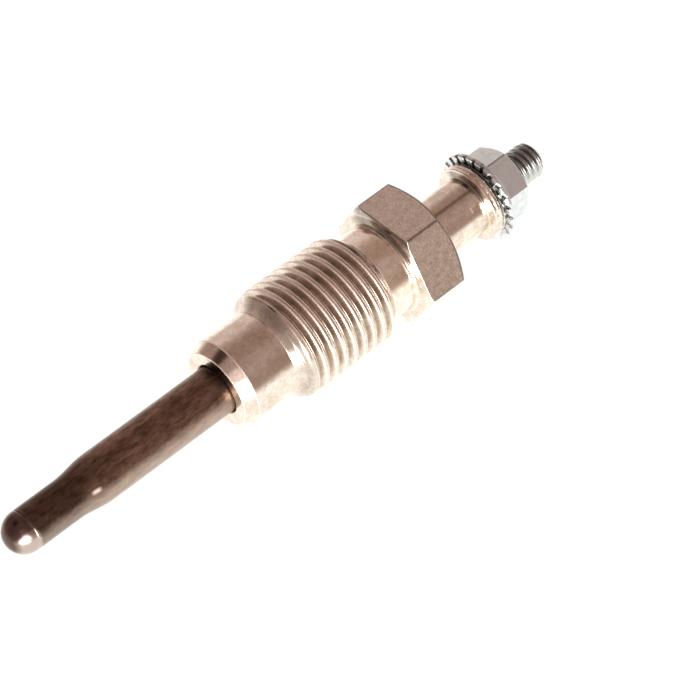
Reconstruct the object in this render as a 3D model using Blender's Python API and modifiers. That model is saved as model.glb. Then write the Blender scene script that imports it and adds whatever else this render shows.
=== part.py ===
"""Diesel glow plug with a metal sheathed heating element.

The plug lies at rest on one flat of its hexagon, axis along X, glow tip toward -X.
Lengths along the axis are stations, measured from the front face of the hexagon,
positive toward the terminal. Sizes are written in millimetres, and the empty that
carries every piece scales them, so the scene itself is in metres, with +Z up.
"""

import math

import bmesh
import bpy
from mathutils import Matrix

MILLIMETRE = 0.001
WELD = 0.0005               # vertices closer than this are one

# Clearances between pieces.
PRESS_GAP = 0.10            # radial gap where one round piece sits inside another
SEAT_GAP = 0.10             # axial gap between two faces that seat on each other
RING_GAP = 0.06             # gap on each side of the rubber ring

# Hexagon of the body.
HEX_FLATS = 12.0
HEX_LENGTH = 5.15
HEX_FRONT_CIRCLE = 13.0     # where the front chamfer meets the front face
HEX_FRONT_ANGLE = 25.0
HEX_REAR_CIRCLE = 10.8
HEX_REAR_ANGLE = 30.0

# Shank and rolled thread, M12 x 1.25.
SHANK_DIAMETER = 9.74
SHANK_LENGTH = 3.1
SHANK_FILLET = 0.5
THREAD_DIAMETER = 11.98
THREAD_PITCH = 1.25
THREAD_LENGTH = 12.6        # from the lead-in at the barrel to the run-out at the shank
THREAD_DEPTH = 0.68
THREAD_CREST = 0.36         # width of the flat on each crest
THREAD_PHASE = -0.02        # shifts the helix along the axis
LEAD_IN_ANGLE = 45.0
RUN_OUT_ANGLE = 45.0

# Plain barrel in front of the thread, and its sealing cone.
BARREL_DIAMETER = 9.3
BARREL_LENGTH = 4.9
SEAT_CONE_LENGTH = 1.35
NOSE_DIAMETER = 8.1
NOSE_EDGE = 0.06

# Neck and collar at the terminal end of the body.
NECK_DIAMETER = 6.2
NECK_LENGTH = 6.35
NECK_FILLET = 0.2
COLLAR_DIAMETER = 8.26
COLLAR_THICKNESS = 0.95
COLLAR_CHAMFER = 0.18
COLLAR_GROOVE = 0.06

# Bores of the body.
ROD_BORE_GAP = 0.35         # air gap round the rod
MOUTH_WALL = 0.65

# Glow tube.
TUBE_DIAMETER = 5.1
TUBE_WALL = 0.55
TUBE_REACH = 25.85          # how far the tube stands out of the nose
TUBE_HELD = 13.7            # length held in the body
TIP_DIAMETER = 4.3
TIP_LENGTH = 7.9            # swaged end, with its dome
TIP_TAPER = 2.45
TIP_GROOVE = 0.1
TIP_WALL = 1.6              # thickness at the point of the dome

# Coils inside the tube.
WIRE_DIAMETER = 0.3
COIL_DIAMETER = 1.7         # through the middle of the wire
COIL_GAP = 0.3
HEATING_TURNS = 7
HEATING_PITCH = 1.15
REGULATING_TURNS = 9
REGULATING_PITCH = 0.75
TAIL_LENGTH = 0.9           # straight front end of the heating coil

# Centre rod and its M4 end.
ROD_DIAMETER = 3.5
ROD_SLIM_DIAMETER = 2.5
SPIGOT_LENGTH = 2.5
SPIGOT_GAP = 0.15
STUD_DIAMETER = 3.9
STUD_PITCH = 0.7
STUD_DEPTH = 0.4
STUD_CREST = 0.14
STUD_EXPOSED = 3.9          # length that stands out of the nut
STUD_CHAMFER = 0.45

# Seal of the tube, and insulating bush.
SEAL_LENGTH = 2.1
SEAL_LIP = 0.45
BUSH_FLANGE = 0.2
BUSH_DIAMETER = 8.2
BUSH_DEPTH = 2.1

# Terminal nut, M4 with a serrated flange.
NUT_FLATS = 6.9
NUT_HEIGHT = 3.9
NUT_CIRCLE = 6.6            # where the rear chamfer meets the rear face
NUT_ANGLE = 30.0
NUT_TURN = 36.0             # how far the nut is turned from the body's hexagon
FLANGE_DIAMETER = 9.7
FLANGE_THICKNESS = 0.6
FLANGE_SLOPE = 0.3
FLANGE_EDGE = 0.07
SERRATIONS = 24
SERRATION_DEPTH = 0.2
SERRATION_LEAN = 18.0
SERRATION_INNER = 7.6
SERRATION_TURN = 8.6        # where the first tooth gap stands

# Facets round one turn.
BODY_STEPS = 36
TUBE_STEPS = 32
INNER_STEPS = 24
STUD_STEPS = 18
COIL_STEPS = 10
ARC_STEPS = 4

# Places that follow from the sizes above.
thread_root = THREAD_DIAMETER / 2 - THREAD_DEPTH
shank_front = -SHANK_LENGTH
thread_front = shank_front - THREAD_LENGTH
cone_rear = thread_front - BARREL_LENGTH
nose = cone_rear - SEAT_CONE_LENGTH
tip = nose - TUBE_REACH
tube_rear = nose + TUBE_HELD
lip_rear = tube_rear + SEAT_GAP + SEAL_LIP
shoulder = lip_rear + SEAT_GAP
neck_rear = HEX_LENGTH + NECK_LENGTH
collar_rear = neck_rear + COLLAR_THICKNESS
bush_seat = collar_rear + SEAT_GAP
nut_front = bush_seat + BUSH_FLANGE + SEAT_GAP
nut_rear = nut_front + NUT_HEIGHT
stud_rear = nut_rear + STUD_EXPOSED
rod_radius = ROD_DIAMETER / 2
slim_radius = ROD_SLIM_DIAMETER / 2
mouth_radius = NECK_DIAMETER / 2 - MOUTH_WALL
ring_radius = (mouth_radius - rod_radius) / 2 - RING_GAP
ring_middle = bush_seat - BUSH_DEPTH - RING_GAP - ring_radius
mouth_floor = ring_middle - ring_radius - RING_GAP
tube_bore = TUBE_DIAMETER / 2 - TUBE_WALL
tip_bore = TIP_DIAMETER / 2 - TUBE_WALL
tip_rear = tip + TIP_LENGTH
dome_inside = tip + TIP_WALL
heating_front = dome_inside + SEAT_GAP + WIRE_DIAMETER / 2 + TAIL_LENGTH
heating_rear = heating_front + HEATING_TURNS * HEATING_PITCH
regulating_front = heating_rear + WIRE_DIAMETER + COIL_GAP
regulating_rear = regulating_front + REGULATING_TURNS * REGULATING_PITCH
slim_front = regulating_rear + WIRE_DIAMETER
spigot_radius = (COIL_DIAMETER - WIRE_DIAMETER) / 2 - SPIGOT_GAP
rest_height = max(HEX_FLATS, THREAD_DIAMETER, FLANGE_DIAMETER) / 2
middle = (tip + stud_rear) / 2


def start_scene():
    """Empty the scene and make the collections and the empty that carries the plug."""
    for obj in list(bpy.data.objects):
        bpy.data.objects.remove(obj, do_unlink=True)
    parts = bpy.data.collections.new("glow_plug")
    cutters = bpy.data.collections.new("glow_plug_cutters")
    for collection in (parts, cutters):
        bpy.context.scene.collection.children.link(collection)
    axis = bpy.data.objects.new("plug_axis", None)
    axis.location = (-middle * MILLIMETRE, 0.0, rest_height * MILLIMETRE)
    axis.rotation_euler = (0.0, math.radians(90.0), 0.0)
    axis.scale = (MILLIMETRE, MILLIMETRE, MILLIMETRE)
    parts.objects.link(axis)
    return parts, cutters, axis


PARTS, CUTTERS, AXIS = start_scene()


def material(name, colour, roughness, metallic):
    """A plain Principled material."""
    mat = bpy.data.materials.new(name)
    mat.use_nodes = True
    shader = mat.node_tree.nodes["Principled BSDF"]
    shader.inputs["Base Color"].default_value = (*colour, 1.0)
    shader.inputs["Roughness"].default_value = roughness
    shader.inputs["Metallic"].default_value = metallic
    return mat


def place(name, mesh, collection):
    """Put a mesh on the plug's axis, whose local Z runs toward the terminal."""
    obj = bpy.data.objects.new(name, mesh)
    collection.objects.link(obj)
    obj.parent = AXIS
    if collection is CUTTERS:
        obj.hide_render = True
        obj.display_type = "WIRE"
    return obj


def arc(station, radius, size, start, end, steps=ARC_STEPS):
    """Points of a profile on an arc. Angles are in degrees from the terminal direction."""
    points = []
    for i in range(steps + 1):
        angle = math.radians(start + (end - start) * i / steps)
        points.append((station + size * math.cos(angle), radius + size * math.sin(angle)))
    return points


def slope(angle):
    """Rise in radius for each millimetre along the axis."""
    return math.tan(math.radians(angle))


def profile_mesh(name, points, closed):
    """Edges that join (station, radius) points in the XZ plane."""
    mesh = bpy.data.meshes.new(name)
    edges = [(i, i + 1) for i in range(len(points) - 1)]
    if closed:
        edges.append((len(points) - 1, 0))
    mesh.from_pydata([(radius, 0.0, station) for station, radius in points], edges, [])
    return mesh


def turned(name, points, steps, collection=None, closed=False):
    """A turned shape. Its profile runs from the terminal side to the tip on the outside."""
    obj = place(name, profile_mesh(name, points, closed), collection or PARTS)
    screw = obj.modifiers.new("turn", "SCREW")
    screw.axis = "Z"
    screw.steps = steps
    screw.render_steps = steps
    screw.use_merge_vertices = True
    screw.merge_threshold = 0.0001
    return obj


def hexagon(name, flats, front, rear):
    """A hexagonal blank between two stations."""
    mesh = bpy.data.meshes.new(name)
    shape = bmesh.new()
    corner = flats / 2 / math.cos(math.radians(30.0))
    centre = Matrix.Translation((0.0, 0.0, (front + rear) / 2))
    bmesh.ops.create_cone(shape, cap_ends=True, segments=6, radius1=corner, radius2=corner,
                          depth=rear - front, matrix=centre)
    shape.to_mesh(mesh)
    shape.free()
    return place(name, mesh, CUTTERS)


def combine(obj, other, operation):
    """Join, cut or intersect an object with another."""
    boolean = obj.modifiers.new(operation.lower(), "BOOLEAN")
    boolean.operation = operation
    boolean.solver = "EXACT"
    boolean.object = other


def weld(mesh):
    """Join the vertices of a mesh that share a place."""
    shape = bmesh.new()
    shape.from_mesh(mesh)
    bmesh.ops.remove_doubles(shape, verts=shape.verts, dist=WELD)
    bmesh.ops.dissolve_degenerate(shape, edges=shape.edges, dist=WELD)
    shape.to_mesh(mesh)
    shape.free()


def freeze(obj):
    """Replace an object's data by its evaluated mesh."""
    bpy.context.view_layer.update()
    graph = bpy.context.evaluated_depsgraph_get()
    mesh = bpy.data.meshes.new_from_object(obj.evaluated_get(graph))
    weld(mesh)
    obj.modifiers.clear()
    obj.data = mesh
    return mesh


def finish(obj, mat, sharp=35.0):
    """Freeze a piece, shade it and give it its material."""
    mesh = freeze(obj)
    mesh.shade_smooth()
    mesh.set_sharp_from_angle(angle=math.radians(sharp))
    mesh.materials.clear()
    mesh.materials.append(mat)
    return obj


def helix(name, diameter, pitch, depth, crest, start, end, steps):
    """A right hand thread with 60 degree flanks and closed ends, longer than it is needed."""
    outer = diameter / 2
    root = outer - depth
    flank = min(depth * slope(30.0), (pitch - crest) / 2.1)
    points = [(start + pitch, root), (start + 2 * flank + crest, root),
              (start + flank + crest, outer), (start + flank, outer), (start, root)]
    obj = place(name, profile_mesh(name, points, False), CUTTERS)
    screw = obj.modifiers.new("helix", "SCREW")
    screw.axis = "Z"
    screw.angle = math.radians(360.0)
    screw.screw_offset = pitch
    screw.iterations = math.ceil((end - start) / pitch)
    screw.steps = steps
    screw.render_steps = steps
    mesh = freeze(obj)
    shape = bmesh.new()
    shape.from_mesh(mesh)
    bmesh.ops.holes_fill(shape, edges=shape.edges, sides=0)
    bmesh.ops.recalc_face_normals(shape, faces=shape.faces)
    shape.to_mesh(mesh)
    shape.free()
    return obj


def body_outline():
    """Outer profile of the body, from the collar to the nose, without hexagon and thread."""
    collar = COLLAR_DIAMETER / 2
    neck = NECK_DIAMETER / 2
    shank = SHANK_DIAMETER / 2
    barrel = BARREL_DIAMETER / 2
    face = NOSE_DIAMETER / 2
    core = min(barrel, shank) - THREAD_DEPTH
    groove = collar_rear - COLLAR_THICKNESS / 2
    inside = HEX_LENGTH / 2
    hidden = THREAD_DEPTH / 3
    points = [(collar_rear, 0.0), (collar_rear, collar - COLLAR_CHAMFER / 2),
              (collar_rear - COLLAR_CHAMFER / 2, collar),
              (groove + COLLAR_GROOVE, collar), (groove, collar - COLLAR_GROOVE),
              (groove - COLLAR_GROOVE, collar),
              (neck_rear + COLLAR_CHAMFER, collar), (neck_rear, collar - COLLAR_CHAMFER)]
    points += arc(neck_rear - NECK_FILLET, neck + NECK_FILLET, NECK_FILLET, 0.0, -90.0)
    points += [(inside, neck), (inside, shank + SHANK_FILLET)]
    fillet_middle = SHANK_FILLET * (0.02 - 1.0)
    points += arc(fillet_middle, shank + SHANK_FILLET, SHANK_FILLET, 0.0, -90.0)
    points += [(shank_front - hidden, shank), (shank_front - hidden, core),
               (thread_front + hidden, core), (thread_front + hidden, barrel),
               (cone_rear, barrel), (nose + NOSE_EDGE, face),
               (nose, face - NOSE_EDGE), (nose, 0.0)]
    return points


def hex_blank():
    """Hexagon of the body with both its chamfers."""
    blank = hexagon("hex_blank", HEX_FLATS, 0.0, HEX_LENGTH)
    wide = 0.6 * HEX_FLATS
    over = 0.1 * HEX_LENGTH
    front = HEX_FRONT_CIRCLE / 2
    rear = HEX_REAR_CIRCLE / 2
    front_slope = slope(90.0 - HEX_FRONT_ANGLE)
    rear_slope = slope(90.0 - HEX_REAR_ANGLE)
    points = [(HEX_LENGTH + over, 0.0), (HEX_LENGTH + over, rear - over * rear_slope),
              (HEX_LENGTH - (wide - rear) / rear_slope, wide), ((wide - front) / front_slope, wide),
              (-over, front - over * front_slope), (-over, 0.0)]
    combine(blank, turned("hex_chamfers", points, 2 * BODY_STEPS, CUTTERS), "INTERSECT")
    return blank


def thread_blank():
    """Thread of the body, cut to its lead-in cone and its run-out cone."""
    shank = SHANK_DIAMETER / 2
    barrel = BARREL_DIAMETER / 2
    low = min(barrel, shank) - THREAD_DEPTH / 2
    wide = THREAD_DIAMETER / 2 + THREAD_DEPTH / 3
    lead = slope(LEAD_IN_ANGLE)
    run = slope(RUN_OUT_ANGLE)
    front = thread_front - (barrel - low) / lead
    rear = shank_front + (shank - low) / run
    start = thread_front + THREAD_PHASE - 2 * THREAD_PITCH
    blank = helix("thread_helix", THREAD_DIAMETER, THREAD_PITCH, THREAD_DEPTH, THREAD_CREST,
                  start, rear + THREAD_PITCH / 2, BODY_STEPS)
    points = [(rear, 0.0), (rear, low), (shank_front - (wide - shank) / run, wide),
              (thread_front + (wide - barrel) / lead, wide), (front, low), (front, 0.0)]
    cones = turned("thread_cones", points, BODY_STEPS, CUTTERS)
    cones.rotation_euler.z = math.radians(180.0 / BODY_STEPS)   # its facets miss the barrel's
    combine(blank, cones, "INTERSECT")
    return blank


def body_bore():
    """Everything that is bored out of the body."""
    tube = TUBE_DIAMETER / 2 + PRESS_GAP
    rod = rod_radius + ROD_BORE_GAP
    over = COLLAR_CHAMFER
    points = [(collar_rear + over, 0.0), (collar_rear + over, mouth_radius),
              (mouth_floor, mouth_radius), (mouth_floor, rod), (shoulder, rod), (shoulder, tube),
              (nose - over, tube), (nose - over, 0.0)]
    return turned("body_bore", points, BODY_STEPS, CUTTERS)


def make_body():
    """Steel body: collar, neck, hexagon, rolled thread, barrel and sealing cone in one."""
    body = turned("body", body_outline(), BODY_STEPS)
    combine(body, hex_blank(), "UNION")
    combine(body, thread_blank(), "UNION")
    combine(body, body_bore(), "DIFFERENCE")
    return finish(body, material("nickel_plated_steel", (0.72, 0.64, 0.55), 0.28, 1.0), 30.0)


def make_glow_tube():
    """Sheath, swaged down and closed by a dome at the hot end, open toward the terminal."""
    outer = TUBE_DIAMETER / 2
    end = TIP_DIAMETER / 2
    dome = end - TIP_GROOVE / 3
    groove = tip + dome + TIP_GROOVE
    points = arc(dome_inside + tip_bore, 0.0, tip_bore, 180.0, 90.0)
    points += [(tip_rear, tip_bore), (tip_rear + TIP_TAPER, tube_bore),
               (tube_rear, tube_bore), (tube_rear, outer), (tip_rear + TIP_TAPER, outer),
               (tip_rear, end), (groove + 3 * TIP_GROOVE, end),
               (groove + 2 * TIP_GROOVE, end - TIP_GROOVE), (groove, dome)]
    points += arc(tip + dome, 0.0, dome, 90.0, 180.0, 2 * ARC_STEPS)
    tube = turned("glow_tube", points, TUBE_STEPS)
    return finish(tube, material("heat_resistant_alloy", (0.16, 0.11, 0.09), 0.42, 0.9))


def make_magnesia():
    """Powder packed round the coils and the rod, as a sleeve that fills the tube."""
    coil_bore = (COIL_DIAMETER + WIRE_DIAMETER) / 2 + PRESS_GAP
    rod_hole = slim_radius + PRESS_GAP
    wide = tube_bore - PRESS_GAP
    slim = tip_bore - PRESS_GAP
    rear = tube_rear - SEAL_LENGTH - SEAT_GAP
    front = dome_inside + tip_bore
    points = [(rear, rod_hole), (rear, wide), (tip_rear + TIP_TAPER, wide),
              (tip_rear, slim), (front, slim), (front, coil_bore),
              (slim_front - SEAT_GAP, coil_bore), (slim_front - SEAT_GAP, rod_hole)]
    sleeve = turned("magnesia_fill", points, INNER_STEPS, closed=True)
    return finish(sleeve, material("magnesia", (0.86, 0.84, 0.79), 0.95, 0.0))


def coil_points(rear, turns, pitch):
    """A left hand helix that starts at its rear end."""
    points = []
    for i in range(turns * COIL_STEPS + 1):
        angle = 2 * math.pi * i / COIL_STEPS
        points.append((COIL_DIAMETER / 2 * math.cos(angle), COIL_DIAMETER / 2 * math.sin(angle),
                       rear - pitch * i / COIL_STEPS))
    return points


def make_coil(name, points, mat):
    """Wire along a list of points, as a closed mesh."""
    curve = bpy.data.curves.new(name, "CURVE")
    curve.dimensions = "3D"
    curve.bevel_depth = WIRE_DIAMETER / 2
    curve.bevel_resolution = 1
    curve.use_fill_caps = True
    spline = curve.splines.new("POLY")
    spline.points.add(len(points) - 1)
    for point, at in zip(spline.points, points):
        point.co = (*at, 1.0)
    wire = bpy.data.objects.new(name + "_wire", curve)
    CUTTERS.objects.link(wire)
    bpy.context.view_layer.update()
    graph = bpy.context.evaluated_depsgraph_get()
    mesh = bpy.data.meshes.new_from_object(wire.evaluated_get(graph))
    bpy.data.objects.remove(wire, do_unlink=True)
    return finish(place(name, mesh, PARTS), mat)


def make_coils():
    """Regulating coil round the rod's spigot, and the heating coil in front of it."""
    regulating = coil_points(regulating_rear, REGULATING_TURNS, REGULATING_PITCH)
    heating = coil_points(heating_rear, HEATING_TURNS, HEATING_PITCH)
    heating += [(COIL_DIAMETER / 4, 0.0, heating_front - TAIL_LENGTH / 3),
                (0.0, 0.0, heating_front - TAIL_LENGTH)]
    make_coil("regulating_coil", regulating, material("regulating_alloy", (0.55, 0.52, 0.50), 0.35, 1.0))
    make_coil("heating_coil", heating, material("heating_alloy", (0.45, 0.43, 0.42), 0.4, 1.0))


def make_tube_seal():
    """Rubber plug that closes the rear of the glow tube round the rod."""
    hole = slim_radius + PRESS_GAP
    outer = TUBE_DIAMETER / 2
    inner = tube_bore - PRESS_GAP
    step = tube_rear + SEAT_GAP
    front = tube_rear - SEAL_LENGTH
    points = [(lip_rear, hole), (lip_rear, outer), (step, outer), (step, inner),
              (front, inner), (front, hole)]
    seal = turned("tube_seal", points, INNER_STEPS, closed=True)
    return finish(seal, material("brown_rubber", (0.10, 0.05, 0.04), 0.8, 0.0))


def stud_blank():
    """Threaded end of the rod, cut to its end chamfer and its run-out cone."""
    crest = STUD_DIAMETER / 2
    small = crest - STUD_CHAMFER
    low = crest - 1.5 * STUD_DEPTH
    wide = crest + STUD_DEPTH / 2
    front = bush_seat - (rod_radius - low) / slope(RUN_OUT_ANGLE)
    start = front - STUD_PITCH
    blank = helix("stud_helix", STUD_DIAMETER, STUD_PITCH, STUD_DEPTH, STUD_CREST,
                  start - STUD_PITCH, stud_rear + STUD_PITCH / 2, STUD_STEPS)
    points = [(stud_rear, 0.0), (stud_rear, small), (stud_rear - (wide - small), wide),
              (front + (wide - low) / slope(RUN_OUT_ANGLE), wide), (front, low), (front, 0.0)]
    combine(blank, turned("stud_cones", points, STUD_STEPS, CUTTERS), "INTERSECT")
    return blank


def make_center_rod():
    """Rod that carries the current: coil spigot, slim stretch, shank and M4 end."""
    core = STUD_DIAMETER / 2 - 2 * STUD_DEPTH
    spigot_front = slim_front - SPIGOT_LENGTH
    edge = SPIGOT_GAP / 2
    points = [(stud_rear - STUD_CHAMFER, 0.0), (stud_rear - STUD_CHAMFER, core),
              (bush_seat, core), (bush_seat, rod_radius), (shoulder, rod_radius),
              (shoulder, slim_radius), (slim_front, slim_radius), (slim_front, spigot_radius),
              (spigot_front + edge, spigot_radius), (spigot_front, spigot_radius - edge),
              (spigot_front, 0.0)]
    rod = turned("center_rod", points, STUD_STEPS)
    combine(rod, stud_blank(), "UNION")
    return finish(rod, material("dark_steel", (0.34, 0.34, 0.34), 0.35, 1.0))


def make_body_seal():
    """Rubber ring between the rod and the mouth of the body."""
    bpy.ops.mesh.primitive_torus_add(major_segments=TUBE_STEPS, minor_segments=8,
                                     major_radius=(mouth_radius + rod_radius) / 2,
                                     minor_radius=ring_radius)
    torus = bpy.context.object
    mesh = torus.data
    bpy.data.objects.remove(torus, do_unlink=True)
    mesh.transform(Matrix.Translation((0.0, 0.0, ring_middle)))
    ring = place("body_seal_ring", mesh, PARTS)
    return finish(ring, material("black_rubber", (0.03, 0.03, 0.03), 0.7, 0.0))


def make_insulating_bush():
    """Black bush in the mouth of the body, with the thin flange under the nut."""
    hole = STUD_DIAMETER / 2 + PRESS_GAP
    spigot = mouth_radius - PRESS_GAP
    outer = BUSH_DIAMETER / 2
    rear = bush_seat + BUSH_FLANGE
    front = bush_seat - BUSH_DEPTH
    points = [(rear, hole), (rear, outer), (bush_seat, outer), (bush_seat, spigot),
              (front, spigot), (front, hole)]
    bush = turned("insulating_bush", points, TUBE_STEPS, closed=True)
    return finish(bush, material("black_insulation", (0.02, 0.018, 0.016), 0.5, 0.0))


def serration_cutters():
    """Leaning blocks that cut the ratchet teeth in the front face of the flange."""
    mesh = bpy.data.meshes.new("serration_cutters")
    shape = bmesh.new()
    outer = FLANGE_DIAMETER / 2 + SERRATION_DEPTH
    inner = SERRATION_INNER / 2
    width = math.pi * inner / SERRATIONS
    size = Matrix.Diagonal((outer - inner, width, 2 * SERRATION_DEPTH, 1.0))
    lean = Matrix.Rotation(math.radians(SERRATION_LEAN), 4, "X")
    move = Matrix.Translation(((inner + outer) / 2, 0.0, nut_front))
    for i in range(SERRATIONS):
        angle = math.radians(SERRATION_TURN + 360.0 * i / SERRATIONS)
        turn = Matrix.Rotation(angle, 4, "Z")
        bmesh.ops.create_cube(shape, size=1.0, matrix=turn @ move @ lean @ size)
    shape.to_mesh(mesh)
    shape.free()
    return place("serration_cutters", mesh, CUTTERS)


def nut_blank():
    """Hexagon of the nut with its rear chamfer, turned to where it was tightened."""
    wide = 0.6 * NUT_FLATS
    over = 0.1 * NUT_HEIGHT
    circle = NUT_CIRCLE / 2
    rise = slope(90.0 - NUT_ANGLE)
    blank = hexagon("nut_blank", NUT_FLATS, nut_front + FLANGE_THICKNESS / 2, nut_rear)
    points = [(nut_rear + over, 0.0), (nut_rear + over, circle - over * rise),
              (nut_rear - (wide - circle) / rise, wide), (nut_front, wide), (nut_front, 0.0)]
    combine(blank, turned("nut_chamfer", points, 2 * BODY_STEPS, CUTTERS), "INTERSECT")
    freeze(blank)
    blank.rotation_euler.z = math.radians(NUT_TURN)
    return blank


def make_terminal_nut():
    """M4 flange nut with a serrated seat."""
    flange = FLANGE_DIAMETER / 2
    flange_rear = nut_front + FLANGE_THICKNESS
    slope_rear = flange_rear + FLANGE_SLOPE
    core = 0.4 * NUT_FLATS
    points = [(slope_rear, 0.0), (slope_rear, core), (slope_rear, 1.15 * core),
              (flange_rear, flange - FLANGE_EDGE), (flange_rear - FLANGE_EDGE, flange),
              (nut_front + FLANGE_EDGE, flange), (nut_front, flange - FLANGE_EDGE), (nut_front, 0.0)]
    nut = turned("terminal_nut", points, BODY_STEPS)
    combine(nut, nut_blank(), "UNION")
    hole = STUD_DIAMETER / 2 + PRESS_GAP
    over = FLANGE_EDGE
    points = [(nut_rear + over, 0.0), (nut_rear + over, hole),
              (nut_front - over, hole), (nut_front - over, 0.0)]
    combine(nut, turned("nut_bore", points, TUBE_STEPS, CUTTERS), "DIFFERENCE")
    combine(nut, serration_cutters(), "DIFFERENCE")
    return finish(nut, material("zinc_plated_steel", (0.68, 0.66, 0.65), 0.38, 1.0), 30.0)


make_body()
make_glow_tube()
make_magnesia()
make_coils()
make_tube_seal()
make_center_rod()
make_body_seal()
make_insulating_bush()
make_terminal_nut()
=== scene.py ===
"""Looks of the diesel glow plug: fine surfaces, finishes, studio light and camera.

Lengths are in millimetres until a mesh is made. Stations run along the plug's axis from
the front face of its hexagon, positive toward the terminal. Angles round the axis start
at +Y and turn toward +Z, so 90 degrees is straight up.
"""

import math

import bmesh
import bpy
import numpy as np
from mathutils import Matrix, Vector


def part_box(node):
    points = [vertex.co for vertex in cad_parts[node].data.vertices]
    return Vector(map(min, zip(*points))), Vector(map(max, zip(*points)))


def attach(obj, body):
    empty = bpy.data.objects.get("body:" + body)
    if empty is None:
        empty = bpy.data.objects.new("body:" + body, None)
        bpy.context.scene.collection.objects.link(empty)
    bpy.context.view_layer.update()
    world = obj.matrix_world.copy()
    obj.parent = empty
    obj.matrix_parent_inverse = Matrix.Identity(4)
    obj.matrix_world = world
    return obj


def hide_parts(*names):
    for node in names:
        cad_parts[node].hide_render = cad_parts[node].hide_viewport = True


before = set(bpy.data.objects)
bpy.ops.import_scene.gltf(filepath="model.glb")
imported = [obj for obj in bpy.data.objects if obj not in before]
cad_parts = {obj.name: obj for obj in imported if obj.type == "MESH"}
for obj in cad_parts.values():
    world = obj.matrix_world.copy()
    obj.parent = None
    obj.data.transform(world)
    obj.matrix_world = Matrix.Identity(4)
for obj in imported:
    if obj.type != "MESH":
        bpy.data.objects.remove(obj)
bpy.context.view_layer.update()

MM = 1000.0                 # millimetres in a metre
TURN = 2 * math.pi

# Camera, from the viewing angle of the photograph.
CAMERA_AZIMUTH = -39.42
CAMERA_ELEVATION = 49.11
CAMERA_ROLL = -4.86
CAMERA_DISTANCE = 0.301
CAMERA_AIM = (0.0034, -0.0061, 0.0069)
CAMERA_LENS = 162.25
CAMERA_SENSOR = 36.0

# Rounding of edges: fine, on the edges of the hexagon, and broad.
ROUND_FINE = 0.05
ROUND_HEX = 0.06
ROUND_BROAD = 0.1

# Hexagon, shank and neck of the body.
HEX_FLATS = 12.0
HEX_LENGTH = 5.15
HEX_FRONT_CIRCLE = 13.0
HEX_FRONT_ANGLE = 25.0
HEX_REAR_CIRCLE = 10.8
HEX_REAR_ANGLE = 30.0
HEX_CORNER = 0.12           # rounding along the six corners
HEX_CHAMFER = 0.1           # least width of the chamfers, at the middle of a flat
NECK_ROOT = 0.2             # fillet from the hexagon to the neck
SHANK_RADIUS = 4.87
SHANK_FILLET = 0.5
SHANK_LENGTH = 3.1
NECK_RADIUS = 3.1
NECK_FILLET = 0.2
COLLAR_RADIUS = 4.13
COLLAR_THICKNESS = 0.95
COLLAR_CHAMFER = 0.18
COLLAR_GROOVE = 0.06        # depth of the groove round the collar

# Rolled thread of the body.
THREAD_RADIUS = 5.99
THREAD_ROOT = 5.31
THREAD_PITCH = 1.25
THREAD_CREST = 0.36
THREAD_LENGTH = 12.6
THREAD_PHASE = -16.0845     # station of a crest's middle at angle 0
THREAD_BLEND = 0.05         # softness of the crest and root
THREAD_MARGIN = (0.6, 0.2)  # plain stretch in the thread's grid, front and rear
FLANK_ANGLE = 30.0          # of every thread, from square to the axis
LEAD_IN = 1.0               # rise of the lead-in cone for each millimetre
FIRST_CREST = 5.74          # radius that the first turn of the thread reaches
FIRST_RISE = 0.25           # rise of the next crests for each millimetre
FIRST_LENGTH = 1.0          # from the start of the lead-in cone to the first turn
RUN_OUT = 1.0               # fall of the run-out cone for each millimetre
CONE_BLEND = 0.03           # softness between the cones

# Barrel and nose.
BARREL_RADIUS = 4.65
CONE_LENGTH = 1.35
NOSE_RADIUS = 4.05
NOSE_TO_HEX = 21.95         # from the nose face to the front of the hexagon

# Bores of the body.
BORE_GAP = 0.10
MOUTH_CHAMFER = 0.18        # where the tube comes out of the nose
BORE_SEAM = 2.0             # from the nose face to where the skin starts and ends
ROD_BORE_GAP = 0.35         # round the rod, inside the body
SHOULDER_GAP = 0.65         # from the rear of the tube to the shoulder of the bores
MOUTH_WALL = 0.65           # of the neck, round the bush
MOUTH_RING = 0.7            # room for the rubber ring ahead of the bush

# Marks on the neck: a light mark (station and angle) and a dark line along it (angle).
NECK_LIGHT_MARK = (9.9, 137.0)
NECK_DARK_LINE = 106.0

# Glow tube.
TUBE_WALL = 0.55
TIP_RADIUS = 2.15
TIP_LENGTH = 7.9
TIP_TAPER = 2.45
TIP_GROOVE = 0.1            # half width of the groove behind the dome
TIP_WALL = 1.6              # thickness of the dome on the axis
TIP_ROUND = 0.8             # at both ends of the taper
DOME_STEPS = 20
DOME_POLISH = 2.75          # length of the polished end
TUBE_LIGHT_MARK = (-38.4, 150.0)  # station and angle

# Centre rod and its M4 end.
ROD_RADIUS = 1.75
ROD_SLIM_RADIUS = 1.25
SPIGOT_RADIUS = 0.55
SPIGOT_LENGTH = 2.5
STUD_RADIUS = 1.95
STUD_ROOT = 1.55
STUD_PITCH = 0.7
STUD_CREST = 0.14
STUD_CHAMFER = 0.45
STUD_PHASE = 16.826         # station of a crest's middle at angle 0
STUD_BLEND = 0.02
STUD_INSET = 0.4            # length of the thread ahead of the nut
STUD_NECK = 0.25            # step down from the rod ahead of the thread

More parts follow.
